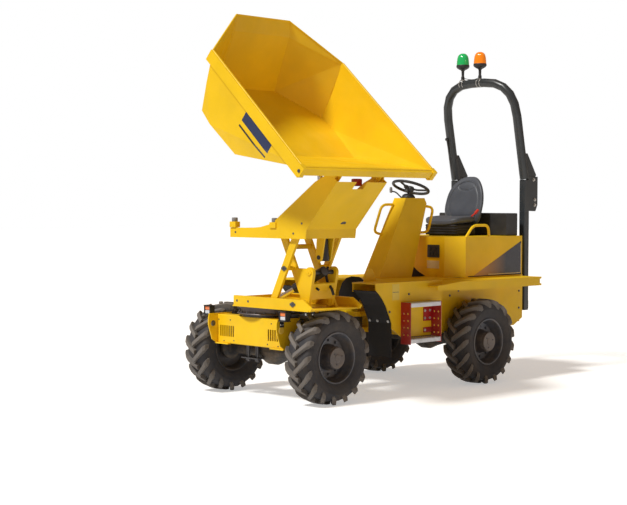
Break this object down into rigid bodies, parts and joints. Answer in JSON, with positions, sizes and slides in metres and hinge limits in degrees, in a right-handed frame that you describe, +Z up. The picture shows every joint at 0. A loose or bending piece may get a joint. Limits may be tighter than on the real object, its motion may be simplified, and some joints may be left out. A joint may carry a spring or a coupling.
{
  "type": "site dumper",
  "caption": "Articulated four-wheel site dumper with a high-lift turntable skip, tractor-tread tyres, driver's seat and folding roll bar.",
  "frame": {"origin": "on the ground, under the middle of the machine's bounding box as it stands with its skip raised, swung left and tipped", "axes": "+Z up, -Y the machine's front, +X its left side, where the skip faces"},
  "size_m": [1.9053, 3.829, 3.138],
  "materials": {
    "yellow_paint": "gloss",
    "red_paint": "gloss",
    "grey_paint": "satin",
    "black_paint": "satin",
    "rim_paint": "satin",
    "tyre": "matte",
    "chrome_rod": "polished",
    "engine": "matte",
    "black_plastic": "matte",
    "seat_vinyl": "satin",
    "green_lens": "gloss",
    "amber_lens": "gloss",
    "rubber_sheet": "matte"
  },
  "bodies": {
    "rear_machine": {"rear_frame": "yellow_paint", "rear_axle": "black_paint", "engine_block": "engine", "cowl": "yellow_paint", "column": "yellow_paint", "steering_wheel": "black_plastic", "seat_base": "black_plastic", "seat_cushion": "seat_vinyl", "seat_back": "seat_vinyl", "deck_left": "yellow_paint", "deck_right": "yellow_paint", "steps_left": "red_paint", "steps_right": "red_paint", "rops_posts": "black_paint", "flap_left": "rubber_sheet", "flap_right": "rubber_sheet", "hose_guard": "rubber_sheet", "rear_box": "black_plastic"},
    "roll_bar": {"hoop": "black_paint", "beacon_green": "green_lens", "beacon_amber": "amber_lens"},
    "front_machine": {"front_frame": "grey_paint", "front_axle": "black_paint", "bumper": "yellow_paint", "lamp_left": "black_plastic", "lamp_right": "black_plastic"},
    "turntable": {"base_frame": "yellow_paint", "slew_ring": "grey_paint"},
    "inner_scissor": {"inner_arms": "yellow_paint"},
    "outer_scissor": {"outer_arm_near": "yellow_paint", "outer_arm_far": "yellow_paint"},
    "lift_platform": {"platform": "yellow_paint"},
    "skip_body": {"skip": "yellow_paint"},
    "lift_ram_barrel": {"lift_barrel": "black_paint"},
    "lift_ram_rod": {"lift_rod": "chrome_rod"},
    "tip_ram_barrel": {"tip_barrel": "black_paint"},
    "tip_ram_rod": {"tip_rod": "chrome_rod"},
    "wheel_front_left": {"tyre_front_left": "tyre", "rim_front_left": "rim_paint"},
    "wheel_front_right": {"tyre_front_right": "tyre", "rim_front_right": "rim_paint"},
    "wheel_rear_left": {"tyre_rear_left": "tyre", "rim_rear_left": "rim_paint"},
    "wheel_rear_right": {"tyre_rear_right": "tyre", "rim_rear_right": "rim_paint"}
  },
  "joints": [
    {"name": "steer", "type": "hinge", "parent": "rear_machine", "child": "front_machine", "pos_m": [-0.2076, -0.1655, 0.56], "axis": [0, 0, 1], "range_deg": [-30, 30]},
    {"name": "swivel", "type": "hinge", "parent": "front_machine", "child": "turntable", "pos_m": [-0.2076, -1.1655, 0.7], "axis": [0, 0, 1], "range_deg": [-180, 0]},
    {"name": "lift", "type": "hinge", "parent": "turntable", "child": "inner_scissor", "pos_m": [0.3524, -1.1655, 0.815], "axis": [0, 1, 0], "range_deg": [-45.5, 0]},
    {"name": "scissor_cross", "type": "hinge", "parent": "inner_scissor", "child": "outer_scissor", "pos_m": [0.21408, -1.1655, 1.09243], "axis": [0, 1, 0], "range_deg": [0, 91]},
    {"name": "platform_level", "type": "hinge", "parent": "outer_scissor", "child": "lift_platform", "pos_m": [0.3524, -1.1655, 1.36986], "axis": [0, 1, 0], "range_deg": [-45.5, 0]},
    {"name": "tip", "type": "hinge", "parent": "lift_platform", "child": "skip_body", "pos_m": [0.7624, -1.1655, 1.81], "axis": [0, 1, 0], "range_deg": [-42.3, 0]},
    {"name": "lift_ram_swing", "type": "hinge", "parent": "inner_scissor", "child": "lift_ram_barrel", "pos_m": [0.3924, -1.1655, 1.06], "axis": [0, 1, 0], "range_deg": [0, 38.7]},
    {"name": "lift_ram_slide", "type": "slide", "parent": "lift_ram_barrel", "child": "lift_ram_rod", "axis": [-0.908, 0, -0.4191], "range_m": [-0.185, 0]},
    {"name": "tip_ram_swing", "type": "hinge", "parent": "lift_platform", "child": "tip_ram_barrel", "pos_m": [0.4124, -1.1655, 1.18], "axis": [0, 1, 0], "range_deg": [0, 2.3]},
    {"name": "tip_ram_slide", "type": "slide", "parent": "tip_ram_barrel", "child": "tip_ram_rod", "axis": [-0.0712, 0, 0.9975], "range_m": [-0.292, 0]},
    {"name": "roll_bar_fold", "type": "hinge", "parent": "rear_machine", "child": "roll_bar", "pos_m": [-0.2076, 1.8495, 1.84], "axis": [1, 0, 0], "range_deg": [-115, 0]},
    {"name": "spin_front_left", "type": "hinge", "parent": "front_machine", "child": "wheel_front_left", "pos_m": [0.4074, -1.1155, 0.38], "axis": [1, 0, 0], "continuous": true},
    {"name": "spin_front_right", "type": "hinge", "parent": "front_machine", "child": "wheel_front_right", "pos_m": [-0.8226, -1.1155, 0.38], "axis": [1, 0, 0], "continuous": true},
    {"name": "spin_rear_left", "type": "hinge", "parent": "rear_machine", "child": "wheel_rear_left", "pos_m": [0.4074, 0.8165, 0.38], "axis": [1, 0, 0], "continuous": true},
    {"name": "spin_rear_right", "type": "hinge", "parent": "rear_machine", "child": "wheel_rear_right", "pos_m": [-0.8226, 0.8165, 0.38], "axis": [1, 0, 0], "continuous": true}
  ],
  "couplings": [
    {"joint": "scissor_cross", "follows": "lift", "ratio": -2},
    {"joint": "platform_level", "follows": "lift", "ratio": 1},
    {"joint": "lift_ram_swing", "follows": "lift", "ratio": -0.84765},
    {"joint": "lift_ram_slide", "follows": "lift", "m_per_rad": 0.23153},
    {"joint": "tip_ram_swing", "follows": "tip", "ratio": -0.052009},
    {"joint": "tip_ram_slide", "follows": "tip", "m_per_rad": 0.3949}
  ]
}
